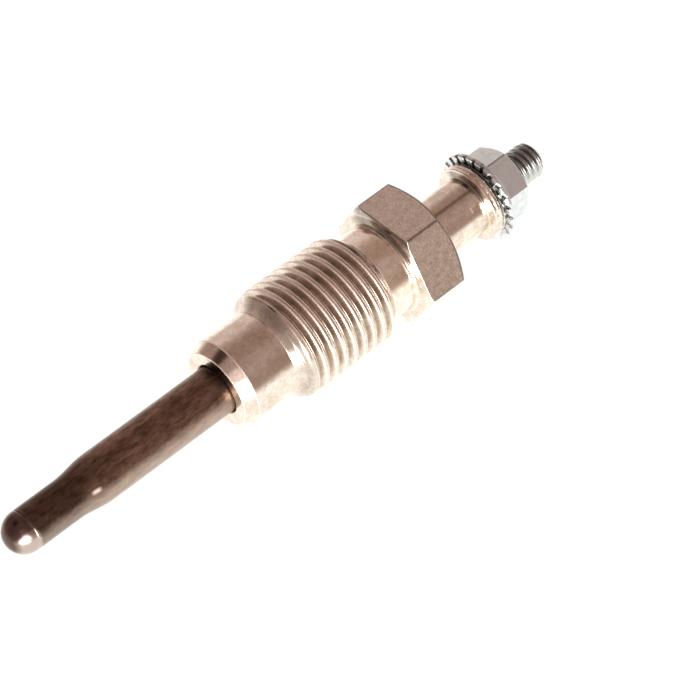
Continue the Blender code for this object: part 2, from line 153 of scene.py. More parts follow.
# Terminal nut.
NUT_FLATS = 6.9
NUT_CIRCLE = 6.6
NUT_ANGLE = 30.0
NUT_TURN = 36.0             # angle of one corner round the axis
NUT_CORNER = 0.16
NUT_CHAMFER = 0.08          # least width of the rear chamfer
NUT_BORE_CHAMFER = 0.2
FLANGE_RADIUS = 4.85
FLANGE_THICKNESS = 0.6
FLANGE_SLOPE = 0.3          # rise of the flange from its rim to the hexagon
FLANGE_FOOT = 3.174         # mean radius where the flange meets the hexagon
FLANGE_RIM = 0.07
SERRATIONS = 24
SERRATION_DEPTH = 0.2
SERRATION_INNER = 3.8
SERRATION_MIDDLE = (4.1, 4.5)
SERRATION_WALL = 4.0        # steepness of a notch's sides
SERRATION_TURN = 8.6        # angle of one notch round the axis
SERRATION_LEAN = 18.0       # of a notch's floor

# Fineness of the meshes.
BODY_COLUMNS = 32           # in each sixth of a turn
THREAD_ROWS = 20            # in each pitch
ROUND_ROWS = 4
TUBE_COLUMNS = 160
STUD_COLUMNS = 96
STUD_ROWS = 14
NUT_COLUMNS = 384
CROWDING = 0.8              # of the body's columns toward the corners
ROUND_ROOM = 0.45           # share of a side that a rounding may take
SHARP_ANGLE = 50.0          # edges sharper than this are shaded sharp
WELD = 2e-7                 # in metres: vertices this near are joined

# Colours of the finishes, tones that darken or lighten them, and sectors round the axis
# that are marked, each as its middle, inner and outer angle in degrees.
NICKEL_LIGHT = (0.80, 0.725, 0.655)
NICKEL_DARK = (0.675, 0.59, 0.505)
NICKEL_FLATS = (0.905, 0.84, 0.775)
# painted highlight on the body's edges, also the colour of the light mark on the neck
NICKEL_HIGHLIGHT = (0.98, 0.86, 0.79)
# painted shade on the thread's flanks and roots
FLANK_SHADE_TONE = 0.76
SHANK_TONE = 1.18
# painted shade along the top of the thread
TOP_SHADE_TONE = 0.84
TOP_SHADE_SECTOR = (84.0, 14.0, 28.0)
# darkening by the painted shade on edges and fillets, the painted dark reflection on the nose and the dark
# line on the neck
DARKENING_TONE = 0.42
SHADE_HEX = (5.7, 6.1)      # radii over which the painted shade ahead of the hexagon fades
SHADE_COLLAR = (3.85, 4.0)  # the same for the collar
# painted dark reflection of the sheath on the nose face
DARK_REFLECTION_SECTOR = (112.0, 24.0, 42.0)
OXIDE_TIP = (0.085, 0.05, 0.037)
OXIDE_NOSE = (0.175, 0.108, 0.08)
# painted light on the sheath's underside, toward the tip and toward the nose
LIT_UNDERSIDE_TIP = (0.265, 0.21, 0.178)
LIT_UNDERSIDE_NOSE = (0.385, 0.30, 0.255)
# colour of a light mark on the sheath
SHEATH_LIGHT_MARK = (0.8, 0.66, 0.6)
DOME_DARK = (0.125, 0.082, 0.072)
# painted highlight on the lower side of the dome
DOME_HIGHLIGHT = (0.50, 0.42, 0.39)
# painted shade on the top of the sheath next to the nose
NOSE_SHADE_TONE = 0.45
ZINC_LIGHT = (0.79, 0.85, 0.88)
ZINC_DARK = (0.63, 0.68, 0.705)
# darkening of a line along the nut at one upper corner
ZINC_LINE_TONE = 0.45
# painted shadow between the upper teeth of the flange
TOOTH_SHADOW_TONE = 0.2
TOOTH_SHADOW_SECTOR = (70.0, 36.0, 60.0)
STUD_LIGHT = (0.40, 0.41, 0.41)
STUD_DARK = (0.27, 0.27, 0.27)
# painted light on the stud's underside
STUD_LIT_UNDERSIDE = (0.60, 0.62, 0.615)
BUSH_BLACK = (0.022, 0.019, 0.017)
# painted light on the bush's lower side
BUSH_LIT_UNDERSIDE = (0.5, 0.47, 0.44)

# Floor and lamp.
FLOOR_SIZE = 1.5
FLOOR_GLOW = 1.08
FLOOR_PAINT = (0.9, 0.9, 0.9)
FLOOR_SHADOW = 0.12         # share of the floor that takes a shadow
LAMP_SIZE = 0.6
LAMP_POWER = 3.0
LAMP_PLACE = (-0.1, -0.1, 0.7)

# Light round the plug, which the metal reflects. Each patch of the room: azimuth and
# elevation, inner and outer angle, colour.
ROOM_LOW = (0.58, 0.46, 0.41)
ROOM_TOP = (0.42, 0.30, 0.26)
ROOM_TOP_SPREAD = (30.0, 85.0)
ROOM = (
    ((153.0, 6.0), 10.0, 44.0, (0.72, 0.58, 0.53)),
    ((105.0, 64.0), 6.0, 30.0, (0.34, 0.23, 0.18)),
    ((25.0, 15.0), 6.0, 26.0, (0.40, 0.28, 0.23)),
    ((-112.0, 27.0), 10.0, 32.0, (0.32, 0.23, 0.20)),
    ((-168.0, 22.0), 8.0, 28.0, (0.36, 0.25, 0.20)),
    ((-144.0, 56.0), 9.0, 19.0, (0.05, 0.03, 0.025)),
    ((-37.0, 40.0), 6.0, 26.0, (0.95, 0.78, 0.72)),
    ((76.0, 18.0), 6.0, 26.0, (1.0, 0.84, 0.78)),
)
TABLE_LIGHT = (1.26, 1.21, 1.13)
TABLE_SPREAD = (72.0, 92.0)
WINDOW = (((-27.0, 8.0), 10.0, 25.0), ((-47.0, -3.0), 6.0, 16.0))
WINDOW_LIGHT = (8.0, 7.7, 7.2)

# Places read from the frame, in millimetres.
tube_low, tube_high = (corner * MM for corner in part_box("glow_tube"))
body_low, body_high = (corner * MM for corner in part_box("body"))
nut_low, nut_high = (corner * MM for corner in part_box("terminal_nut"))
rod_low, rod_high = (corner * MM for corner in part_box("center_rod"))
bush_low, bush_high = (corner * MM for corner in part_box("insulating_bush"))
axis_height = (tube_low.z + tube_high.z) / 2
hex_front = body_low.x + NOSE_TO_HEX
nose = -NOSE_TO_HEX
collar_rear = body_high.x - hex_front
neck_rear = collar_rear - COLLAR_THICKNESS
cone_rear = nose + CONE_LENGTH
shank_front = -SHANK_LENGTH
thread_front = shank_front - THREAD_LENGTH
tip = tube_low.x - hex_front
tube_rear = tube_high.x - hex_front
tube_radius = (tube_high.z - tube_low.z) / 2
nut_front = nut_low.x - hex_front
nut_rear = nut_high.x - hex_front
rod_front = rod_low.x - hex_front
stud_rear = rod_high.x - hex_front
bush_front = bush_low.x - hex_front
bush_rear = bush_high.x - hex_front
bush_radius = (bush_high.z - bush_low.z) / 2
mouth_radius = NECK_RADIUS - MOUTH_WALL
mouth_floor = bush_front - MOUTH_RING
shoulder = tube_rear + SHOULDER_GAP
slim_front = rod_front + SPIGOT_LENGTH


def slope(angle):
    """Rise over run of an angle in degrees."""
    return math.tan(math.radians(angle))


def soft_min(a, b, blend):
    """The smaller of two values, with a rounded change-over."""
    return -blend * np.logaddexp(-a / blend, -b / blend)


def soft_max(a, b, blend):
    """The larger of two values, with a rounded change-over."""
    return blend * np.logaddexp(a / blend, b / blend)


class Skin:
    """Vertices and quads of one piece, gathered grid by grid."""

    def __init__(self, name):
        self.name = name
        self.points = []
        self.faces = []
        self.count = 0

    def grid(self, station, radius, angle):
        """Add a grid of quads through points given as arrays of rows and columns."""
        station, radius, angle = np.broadcast_arrays(station, radius, angle)
        rows, columns = station.shape
        x = station + hex_front
        y = radius * np.cos(angle)
        z = radius * np.sin(angle) + axis_height
        self.points.append(np.stack([x, y, z], axis=-1).reshape(-1, 3) / MM)
        index = np.arange(rows * columns).reshape(rows, columns) + self.count
        corners = (index[:-1, :-1], index[1:, :-1], index[1:, 1:], index[:-1, 1:])
        self.faces.append(np.stack(corners, axis=-1).reshape(-1, 4))
        self.count += rows * columns

    def rows(self, stretch, angle):
        """Add a turned stretch. Each row is (station, radius), single values or arrays."""
        shape = (len(stretch), len(angle))
        station = np.empty(shape)
        radius = np.empty(shape)
        for row, (along, out) in enumerate(stretch):
            station[row] = along
            radius[row] = out
        self.grid(station, radius, angle[None, :])

    def build(self, material, node):
        """Make the welded mesh object, which stands for a node of the frame."""
        mesh = bpy.data.meshes.new(self.name)
        points = np.concatenate(self.points)
        faces = np.concatenate(self.faces)
        mesh.from_pydata(points.tolist(), [], faces.tolist())
        shape = bmesh.new()
        shape.from_mesh(mesh)
        bmesh.ops.remove_doubles(shape, verts=shape.verts, dist=WELD)
        bmesh.ops.dissolve_degenerate(shape, edges=shape.edges, dist=WELD)
        bmesh.ops.recalc_face_normals(shape, faces=shape.faces)
        shape.to_mesh(mesh)
        shape.free()
        mesh.shade_smooth()
        mesh.set_sharp_from_angle(angle=math.radians(SHARP_ANGLE))
        mesh.materials.append(material)
        piece = bpy.data.objects.new(self.name, mesh)
        bpy.context.scene.collection.objects.link(piece)
        normals = piece.modifiers.new("normals", "WEIGHTED_NORMAL")
        normals.keep_sharp = True
        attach(piece, "root")
        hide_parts(node)


def even_angles(count, start=0.0):
    """Columns round a full turn, with the first repeated at the end."""
    return start + TURN * np.arange(count + 1) / count


def hex_angles():
    """Columns round a full turn that crowd toward the corners of the body's hexagon."""
    step = np.arange(6 * BODY_COLUMNS + 1) / BODY_COLUMNS
    return (step - CROWDING * np.sin(TURN * step) / TURN) * TURN / 6


def hexagon(flats, corner, angle):
    """Distance from the axis to the side of a hexagon with a corner at angle 0."""
    sixth = TURN / 6
    from_corner = (angle + sixth / 2) % sixth - sixth / 2
    flat = flats / 2 / np.cos(sixth / 2 - np.abs(from_corner))
    centre = (flats / 2 - corner) / math.cos(sixth / 2)
    reach = math.atan2(corner * math.sin(sixth / 2), centre + corner * math.cos(sixth / 2))
    inside = np.maximum(corner ** 2 - (centre * np.sin(from_corner)) ** 2, 0.0)
    rounded = centre * np.cos(from_corner) + np.sqrt(inside)
    return np.where(np.abs(from_corner) < reach, rounded, flat)


def profile(corners, columns):
    """Rows of a profile whose corners, each (station, radius, rounding), are rounded."""
    points = [np.array([np.broadcast_to(value, columns) for value in corner[:2]], dtype=float)
              for corner in corners]
    rows = []
    for i, (_, _, rounding) in enumerate(corners):
        here = points[i]
        if rounding == 0.0 or i in (0, len(corners) - 1):
            rows.append((here[0], here[1]))
            continue
        before = points[i - 1] - here
        after = points[i + 1] - here
        room_before = np.hypot(*before)
        room_after = np.hypot(*after)
        reach = np.minimum(rounding, ROUND_ROOM * np.minimum(room_before, room_after))
        first = here + before / room_before * reach
        last = here + after / room_after * reach
        for step in range(ROUND_ROWS + 1):
            t = step / ROUND_ROWS
            at = (1 - t) ** 2 * first + 2 * t * (1 - t) * here + t ** 2 * last
            rows.append((at[0], at[1]))
    return rows


def thread_radius(station, angle, thread, limit):
    """Radius of a right hand thread: crest, flanks and root, inside the limit of its cones."""
    pitch = thread["pitch"]
    middle = thread["phase"] + pitch * angle / TURN
    off = np.abs((station - middle + pitch / 2) % pitch - pitch / 2)
    flank = thread["crest_radius"] - (off - thread["crest"] / 2) / slope(FLANK_ANGLE)
    ridge = soft_min(flank, thread["crest_radius"], thread["blend"])
    ridge = soft_max(ridge, thread["root_radius"], thread["blend"])
    return soft_min(ridge, limit, thread["blend"])


def add_thread(skin, angle, rows, front, rear, thread, limit):
    """Add a helical stretch of rows between two plain circles, at the front and rear stations."""
    pitch = thread["pitch"]
    angle = angle[None, :]
    turns = math.floor((rear - front) / pitch) - 1

    def add(first, last, count):
        """Add rows from one line round the plug to the next."""
        across = np.arange(count + 1)[:, None] / count
        station = first + across * (last - first)
        skin.grid(station, thread_radius(station, angle, thread, limit(station)), angle)

    helix = front + pitch * angle / TURN
    add(np.full_like(helix, front), helix, rows)
    for turn in range(turns):
        add(helix + pitch * turn, helix + pitch * (turn + 1), rows)
    add(helix + pitch * turns, np.full_like(helix, rear), 2 * rows)


def make_body(material):
    """Body in one skin: nose, cone, barrel, thread, shank, hexagon, neck, collar and bores."""
    angle = hex_angles()
    columns = len(angle)
    side = hexagon(HEX_FLATS, HEX_CORNER, angle)
    front_circle = np.minimum(HEX_FRONT_CIRCLE / 2, side - HEX_CHAMFER)
    rear_circle = np.minimum(HEX_REAR_CIRCLE / 2, side - HEX_CHAMFER)
    front_chamfer = (side - front_circle) * slope(HEX_FRONT_ANGLE)
    rear_chamfer = HEX_LENGTH - (side - rear_circle) * slope(HEX_REAR_ANGLE)
    thread = {"pitch": THREAD_PITCH, "phase": THREAD_PHASE, "crest": THREAD_CREST,
              "crest_radius": THREAD_RADIUS, "root_radius": THREAD_ROOT, "blend": THREAD_BLEND}

    def cones(station):
        """Radius of the lead-in cone, the first crests and the run-out."""
        first = FIRST_CREST + (station - thread_front - FIRST_LENGTH) * FIRST_RISE
        lead = soft_min(BARREL_RADIUS + (station - thread_front) * LEAD_IN, first, CONE_BLEND)
        lead = soft_max(lead, BARREL_RADIUS, 0.02)
        run = soft_max(SHANK_RADIUS + (shank_front - station) * RUN_OUT, SHANK_RADIUS, CONE_BLEND)
        return np.minimum(lead, run)

    skin = Skin("body_skin")
    tube_bore = tube_radius + BORE_GAP
    rod_bore = ROD_RADIUS + ROD_BORE_GAP
    front = thread_front - THREAD_MARGIN[0]
    rear = shank_front + THREAD_MARGIN[1]
    add_thread(skin, angle, THREAD_ROWS, front, rear, thread, cones)
    barrel = float(cones(np.array(front)))
    shank = float(cones(np.array(rear)))
    groove = collar_rear - COLLAR_THICKNESS / 2
    ahead = [(nose + BORE_SEAM, tube_bore, 0.0), (nose + MOUTH_CHAMFER, tube_bore, 0.0),
             (nose, tube_bore + MOUTH_CHAMFER, 0.03), (nose, NOSE_RADIUS, ROUND_FINE),
             (cone_rear, BARREL_RADIUS, ROUND_FINE), (front - 0.05, barrel, 0.0),
             (front, barrel, 0.0)]
    behind = [(rear, shank, 0.0), (0.0, SHANK_RADIUS, SHANK_FILLET),
              (0.0, front_circle, ROUND_FINE), (front_chamfer, side, ROUND_HEX),
              (rear_chamfer, side, ROUND_HEX), (HEX_LENGTH, rear_circle, ROUND_HEX),
              (HEX_LENGTH, NECK_RADIUS, NECK_ROOT), (neck_rear, NECK_RADIUS, NECK_FILLET),
              (neck_rear, COLLAR_RADIUS, COLLAR_CHAMFER),
              (groove - 2 * COLLAR_GROOVE, COLLAR_RADIUS, ROUND_FINE),
              (groove, COLLAR_RADIUS - COLLAR_GROOVE, ROUND_FINE),
              (groove + 2 * COLLAR_GROOVE, COLLAR_RADIUS, ROUND_FINE),
              (collar_rear, COLLAR_RADIUS, ROUND_BROAD), (collar_rear, mouth_radius, ROUND_FINE),
              (mouth_floor, mouth_radius, 0.0), (mouth_floor, rod_bore, 0.0),
              (shoulder, rod_bore, 0.0), (shoulder, tube_bore, 0.0),
              (nose + BORE_SEAM, tube_bore, 0.0)]
    skin.rows(profile(ahead, columns), angle)
    skin.rows(profile(behind, columns), angle)
    skin.build(material, "body")


def make_tube(material):
    """Sheath with its dome, swaged end, taper and bore."""
    angle = even_angles(TUBE_COLUMNS)
    columns = len(angle)
    bore = tube_radius - TUBE_WALL
    tip_bore = TIP_RADIUS - TUBE_WALL
    rows = []
    for step in range(DOME_STEPS + 1):
        turn = math.pi / 2 * step / DOME_STEPS
        rows.append((tip + TIP_RADIUS * (1 - math.cos(turn)), TIP_RADIUS * math.sin(turn)))
    tip_rear = tip + TIP_LENGTH
    groove = tip + TIP_RADIUS + 2 * TIP_GROOVE
    corners = [(tip + TIP_RADIUS, TIP_RADIUS, 0.0), (groove - TIP_GROOVE, TIP_RADIUS, ROUND_FINE),
               (groove, TIP_RADIUS - TIP_GROOVE / 2, 0.08),
               (groove + TIP_GROOVE, TIP_RADIUS, ROUND_FINE),
               (tip_rear, TIP_RADIUS, TIP_ROUND), (tip_rear + TIP_TAPER, tube_radius, TIP_ROUND),
               (tube_rear, tube_radius, ROUND_BROAD), (tube_rear, bore, ROUND_BROAD),
               (tip_rear + TIP_TAPER, bore, 0.0), (tip_rear, tip_bore, 0.0),
               (tip + TIP_WALL + tip_bore, tip_bore, TIP_ROUND),
               (tip + TIP_WALL, tip_bore / 2, 0.0), (tip + TIP_WALL, 0.0, 0.0)]
    rows += profile(corners, columns)
    skin = Skin("glow_tube_skin")
    skin.rows(rows, angle)
    skin.build(material, "glow_tube")


def make_bush(material):
    """Black bush: spigot in the mouth of the body and thin flange under the nut."""
    angle = even_angles(TUBE_COLUMNS)
    hole = STUD_RADIUS + BORE_GAP
    spigot = mouth_radius - BORE_GAP
    seat = collar_rear + BORE_GAP
    corners = [(bush_rear, hole, 0.0), (bush_rear, bush_radius, ROUND_FINE),
               (seat, bush_radius, ROUND_FINE), (seat, spigot, 0.0),
               (bush_front, spigot, ROUND_BROAD), (bush_front, hole, ROUND_BROAD),
               (bush_rear, hole, 0.0)]
    skin = Skin("insulating_bush_skin")
    skin.rows(profile(corners, len(angle)), angle)
    skin.build(material, "insulating_bush")


def make_rod(material):
    """Centre rod: coil spigot, slim stretch, shank and M4 thread with its end chamfer."""
    angle = even_angles(STUD_COLUMNS)
    columns = len(angle)
    thread = {"pitch": STUD_PITCH, "phase": STUD_PHASE, "crest": STUD_CREST,
              "crest_radius": STUD_RADIUS, "root_radius": STUD_ROOT, "blend": STUD_BLEND}
    start = nut_front - STUD_INSET
    neck_radius = ROD_RADIUS - STUD_NECK
    end_radius = STUD_RADIUS - STUD_CHAMFER

    def cones(station):
        """Radius of the run-out and the end chamfer."""
        end = end_radius + np.maximum(stud_rear - station, 0.0)
        run = soft_max(neck_radius + (station - start), neck_radius, CONE_BLEND)
        return soft_min(end, run, CONE_BLEND)

    skin = Skin("center_rod_skin")
    front = start - 0.2
    add_thread(skin, angle, STUD_ROWS, front, stud_rear, thread, cones)
    neck = float(cones(np.array(front)))
    ahead = [(rod_front, 0.0, 0.0), (rod_front, SPIGOT_RADIUS, ROUND_BROAD),
             (slim_front, SPIGOT_RADIUS, 0.0), (slim_front, ROD_SLIM_RADIUS, ROUND_BROAD),
             (shoulder, ROD_SLIM_RADIUS, ROUND_BROAD), (shoulder, ROD_RADIUS, ROUND_BROAD),
             (front - 0.5, ROD_RADIUS, ROUND_BROAD), (front - 0.3, neck, ROUND_BROAD),
             (front, neck, 0.0)]
    end = float(cones(np.array(stud_rear)))
    behind = [(stud_rear, end, 0.0), (stud_rear, 0.0, 0.0)]
    skin.rows(profile(ahead, columns), angle)
    skin.rows(profile(behind, columns), angle)
    skin.build(material, "center_rod")


def make_nut(material):
    """Flange nut: serrated seat, coned flange, hexagon with rear chamfer, and bore."""
    angle = even_angles(NUT_COLUMNS, math.radians(NUT_TURN))
    columns = len(angle)
    side = hexagon(NUT_FLATS, NUT_CORNER, angle - math.radians(NUT_TURN))
    circle = np.minimum(NUT_CIRCLE / 2, side - NUT_CHAMFER)
    chamfer = nut_rear - (side - circle) * slope(NUT_ANGLE)
    hole = STUD_RADIUS + BORE_GAP
    flange_rear = nut_front + FLANGE_THICKNESS
    cone = FLANGE_SLOPE / (FLANGE_RADIUS - FLANGE_FOOT)
    foot = flange_rear + (FLANGE_RADIUS - side) * cone
    pitch = TURN / SERRATIONS
    off = (angle - math.radians(SERRATION_TURN) + pitch / 2) % pitch - pitch / 2
    wide = math.pi * SERRATION_INNER / SERRATIONS / 2

    def notch(radius):
        """Depth of the front face at a radius, leaning as a ratchet tooth does."""
        along = off * radius
        floor = SERRATION_DEPTH + along * slope(SERRATION_LEAN)
        walls = (wide - np.abs(along)) * SERRATION_WALL
        return np.clip(np.minimum(floor, walls), 0.0, None)

    seat = [(nut_front, hole), (nut_front, SERRATION_INNER - 0.05)]
    seat += [(nut_front + notch(radius), radius) for radius in (SERRATION_INNER, *SERRATION_MIDDLE)]
    seat.append((nut_front + notch(FLANGE_RADIUS), FLANGE_RADIUS - FLANGE_RIM))
    upper = [(nut_front + notch(FLANGE_RADIUS) + FLANGE_RIM, FLANGE_RADIUS, 0.0),
             (flange_rear - FLANGE_RIM, FLANGE_RADIUS, ROUND_FINE),
             (flange_rear, FLANGE_RADIUS - FLANGE_RIM, ROUND_FINE), (foot, side, 0.08),
             (chamfer, side, ROUND_FINE), (nut_rear, circle, ROUND_FINE),
             (nut_rear, hole + NUT_BORE_CHAMFER, ROUND_FINE),
             (nut_rear - NUT_BORE_CHAMFER, hole, ROUND_FINE), (nut_front, hole, 0.0)]
    skin = Skin("terminal_nut_skin")
    skin.rows(seat + profile(upper, columns), angle)
    skin.build(material, "terminal_nut")


class Nodes:
    """A node tree on which nodes are added and linked in one call."""

    def __init__(self, tree):
        self.tree = tree

    def connect(self, socket, value):
        """Link an output to a socket, or set the socket to a value."""
        if isinstance(value, bpy.types.NodeSocket):
            self.tree.links.new(value, socket)
        else:
            socket.default_value = value

    def add(self, kind, inputs=None, **settings):
        """Add a node. Inputs are values, or outputs of other nodes."""
        node = self.tree.nodes.new("ShaderNode" + kind)
        for key, value in settings.items():
            setattr(node, key, value)
        for key, value in (inputs or {}).items():
            self.connect(node.inputs[key], value)
        return node

    def mix(self, share, first, second):
        """A colour between two."""
        node = self.add("Mix", {0: share}, data_type="RGBA")
        for key, value in ((6, first), (7, second)):
            if isinstance(value, tuple):
                value = (*value, 1.0)
            self.connect(node.inputs[key], value)
        return node.outputs[2]


class Shader(Nodes):
    """A material's nodes, with the place on the plug in millimetres and radians."""

    def __init__(self, name):
        self.material = bpy.data.materials.new(name)
        self.material.use_nodes = True
        super().__init__(self.material.node_tree)
        self.principled = self.tree.nodes["Principled BSDF"]
        split = self.add("SeparateXYZ", {0: self.add("TexCoord").outputs["Object"]})
        self.along = self.math("MULTIPLY", split.outputs[0], MM)
        self.across = self.math("MULTIPLY", split.outputs[1], MM)
        self.up = self.math("SUBTRACT", self.math("MULTIPLY", split.outputs[2], MM), axis_height)
        self.place = self.vector(self.along, self.across, self.up)
        self.station = self.math("SUBTRACT", self.along, hex_front)
        self.angle = self.math("ARCTAN2", self.up, self.across)
        square = self.math("ADD", self.math("MULTIPLY", self.across, self.across),
                           self.math("MULTIPLY", self.up, self.up))
        self.out = self.math("SQRT", square)
        self.height = self.math("DIVIDE", self.up, self.out)

    def math(self, operation, first, second=0.0):
        """A math node's output."""
        return self.add("Math", {0: first, 1: second}, operation=operation).outputs[0]

    def vector(self, x, y, z):
        """Three values as one vector."""
        return self.add("CombineXYZ", {0: x, 1: y, 2: z}).outputs[0]

    def noise(self, vector, scale, detail=2.0, roughness=0.5):
        """A noise texture's grey output."""
        inputs = {"Vector": vector, "Scale": scale, "Detail": detail, "Roughness": roughness}
        return self.add("TexNoise", inputs).outputs[0]

    def blend(self, factor, first, second, low=0.0, high=1.0):
        """A colour or value between two, as the factor runs from low to high."""
        share = self.add("MapRange", {0: factor, 1: low, 2: high}).outputs[0]
        if isinstance(first, float) or isinstance(second, float):
            return self.add("MapRange", {0: share, 3: first, 4: second}).outputs[0]
        return self.mix(share, first, second)

    def scale(self, colour, factor):
        """A colour multiplied by a value."""
        return self.add("VectorMath", {0: colour, "Scale": factor}, operation="SCALE").outputs[0]

    def above(self, value, limit):
        """One where a value is above a limit."""
        return self.math("GREATER_THAN", value, limit)

    def below(self, value, limit):
        """One where a value is below a limit."""
        return self.math("LESS_THAN", value, limit)

    def line(self, value, middle, inner, outer):
        """One where a value is within the inner distance of a middle, zero beyond the outer."""
        away = self.math("ABSOLUTE", self.math("SUBTRACT", value, middle))
        return self.blend(away, 1.0, 0.0, inner, outer)

    def sector(self, middle, inner, outer):
        """A line along the plug, at an angle round the axis in degrees."""
        return self.line(self.angle, *(math.radians(value) for value in (middle, inner, outer)))

    def both(self, *masks):
        """Product of masks or tones: one where all of them are one."""
        product = masks[0]
        for mask in masks[1:]:
            product = self.math("MULTIPLY", product, mask)
        return product

    def either(self, *masks):
        """Largest of masks: one where any of them is one."""
        largest = masks[0]
        for mask in masks[1:]:
            largest = self.math("MAXIMUM", largest, mask)
        return largest

    def bump(self, height, strength, distance, **normal):
        """A bump node's normal. The distance is in metres."""
        inputs = {"Height": height, "Strength": strength, "Distance": distance, **normal}
        return self.add("Bump", inputs).outputs[0]

    def finish(self, metallic, **sockets):
        """Set the shader's sockets, from values or from outputs."""
        self.principled.inputs["Metallic"].default_value = metallic
        for key, value in sockets.items():
            self.connect(self.principled.inputs[key.replace("_", " ")], value)
        return self.material


def edge_highlights_and_mark(shader, threaded):
    """Matt lines of painted highlight on the edges of the thread's crest, the cone's end and the nose's
    rim, and a light mark on the neck.
    """
    station = shader.station
    helix = shader.math("SUBTRACT", station, shader.math("MULTIPLY", shader.angle, THREAD_PITCH / TURN))
    helix = shader.math("PINGPONG", shader.math("SUBTRACT", helix, THREAD_PHASE), THREAD_PITCH / 2)
    outermost = shader.blend(shader.out, 0.0, 1.0, THREAD_RADIUS - 0.2, THREAD_RADIUS - 0.1)
    crest = shader.both(shader.line(helix, THREAD_CREST / 2 + 0.01, 0.045, 0.1), threaded, outermost)
    cone_end = shader.line(station, cone_rear, 0.04, 0.09)
    corner = shader.math("SUBTRACT", shader.math("SUBTRACT", station, nose),
                         shader.math("SUBTRACT", shader.out, NOSE_RADIUS))
    rim = shader.both(shader.line(corner, 0.02, 0.05, 0.1), shader.below(station, nose + 0.1))
    light_mark = shader.both(shader.line(station, NECK_LIGHT_MARK[0], 0.05, 0.12),
                       shader.sector(NECK_LIGHT_MARK[1], 4.58, 8.02))
    return shader.either(crest, cone_end, rim, light_mark)


def edge_shade_and_line(shader, flats):
    """Dark lines of painted shade on the hexagon's edges, a dark line along the neck, painted shade in the
    upper fillets and a painted dark reflection on the nose.
    """
    station = shader.station
    from_corner = shader.math("PINGPONG", shader.angle, TURN / 12)
    corner = shader.both(shader.line(from_corner, 0.0, 0.008, 0.028), shader.above(station, 0.3))
    arc = shader.math("SUBTRACT", shader.out, HEX_REAR_CIRCLE / 2)
    arc = shader.math("MULTIPLY", arc, slope(HEX_REAR_ANGLE))
    rear = shader.line(shader.math("ADD", station, arc), HEX_LENGTH, 0.1, 0.22)
    front = shader.both(shader.line(station, 0.0, 0.1, 0.2),
                        shader.blend(shader.height, 0.0, 1.0, 0.75, 0.85))
    edges = shader.both(flats, shader.either(corner, rear, front))

    dark_line = shader.both(shader.sector(NECK_DARK_LINE, 0.0, 5.16), shader.above(station, HEX_LENGTH),
                       shader.below(station, neck_rear))
    hex_fillet = shader.both(shader.line(station, -0.1, 0.2, 0.3),
                             shader.blend(shader.out, 1.0, 0.0, *SHADE_HEX))
    collar_fillet = shader.both(shader.line(station, neck_rear - 0.05, 0.12, 0.25),
                                shader.blend(shader.out, 1.0, 0.0, *SHADE_COLLAR))
    fillets = shader.both(shader.either(hex_fillet, collar_fillet),
                          shader.blend(shader.height, 0.0, 1.0, 0.6, 0.8))
    # painted dark reflection of the sheath on the nose face
    dark_reflection = shader.both(shader.below(station, nose + 0.03), shader.sector(*DARK_REFLECTION_SECTOR))
    return shader.either(edges, dark_line, fillets, dark_reflection)


def nickel():
    """Warm satin nickel plate over turned and rolled steel, darker on the thread's flanks and roots as
    painted shade, with painted shade along the thread's top, on edges and in fillets, and painted
    highlights on edges.
    """
    shader = Shader("nickel_plate")
    station = shader.station
    cloud = shader.noise(shader.place, 0.5, 3.0)
    mottle = shader.noise(shader.place, 1.5, 3.0, 0.6)
    grain = shader.noise(shader.place, 5.0, 3.0, 0.7)

    threaded = shader.both(shader.below(station, shank_front),
                           shader.blend(station, 0.0, 1.0, thread_front, thread_front + 0.6))
    # painted shade on the thread's flanks and roots
    flank_shade = shader.both(threaded,
                        shader.blend(shader.out, 1.0, 0.0, THREAD_ROOT + 0.2, THREAD_RADIUS - 0.05))
    # painted shade along the top of the thread
    top_shade = shader.both(threaded, shader.sector(*TOP_SHADE_SECTOR))
    shank = shader.both(shader.above(station, shank_front), shader.below(station, -0.05))
    flats = shader.both(shader.above(shader.out, HEX_FLATS / 2 - 0.05), shader.above(station, -0.02))
    brushed = shader.both(flats, shader.blend(grain, 0.0, 1.0, 0.35, 0.65))
    front_face = shader.both(shader.line(station, 0.0, 0.03, 0.05), shader.math("SUBTRACT", 1.0, flats))
    polished = shader.either(front_face, shader.below(station, nose + 0.02))
    # painted highlight lines on the edges, and the light mark on the neck
    highlights_and_mark = shader.both(edge_highlights_and_mark(shader, threaded), shader.blend(mottle, 0.7, 1.0, 0.3, 0.55))
    # painted shade on edges and in fillets, painted dark reflection on the nose, and the dark line on the
    # neck
    shade_and_line = edge_shade_and_line(shader, flats)

    colour = shader.blend(cloud, NICKEL_LIGHT, NICKEL_DARK, 0.3, 0.7)
    colour = shader.blend(flats, colour, NICKEL_FLATS)
    tone = shader.both(shader.blend(mottle, 1.1, 0.86, 0.35, 0.65),
                       shader.blend(grain, 1.12, 0.86, 0.3, 0.7),
                       shader.blend(flank_shade, 1.0, FLANK_SHADE_TONE), shader.blend(shank, 1.0, SHANK_TONE),
                       shader.blend(top_shade, 1.0, TOP_SHADE_TONE), shader.blend(brushed, 1.12, 0.86),
                       shader.blend(shade_and_line, 1.0, DARKENING_TONE))
    colour = shader.blend(highlights_and_mark, shader.scale(colour, tone), NICKEL_HIGHLIGHT)

    roughness = shader.blend(mottle, 0.12, 0.22, 0.35, 0.65)
    for mask, value in ((flats, 0.2), (highlights_and_mark, 0.55), (polished, 0.07)):
        roughness = shader.blend(mask, roughness, value)

    turning = shader.vector(shader.along, shader.math("MULTIPLY", shader.angle, 0.5), shader.out)
    dents = shader.bump(mottle, 0.35, 1e-5)
    normal = shader.bump(shader.noise(turning, 9.0, 3.0, 0.7), 0.12, 1e-5, Normal=dents)
    return shader.finish(1.0, Base_Color=colour, Roughness=roughness, Normal=normal)


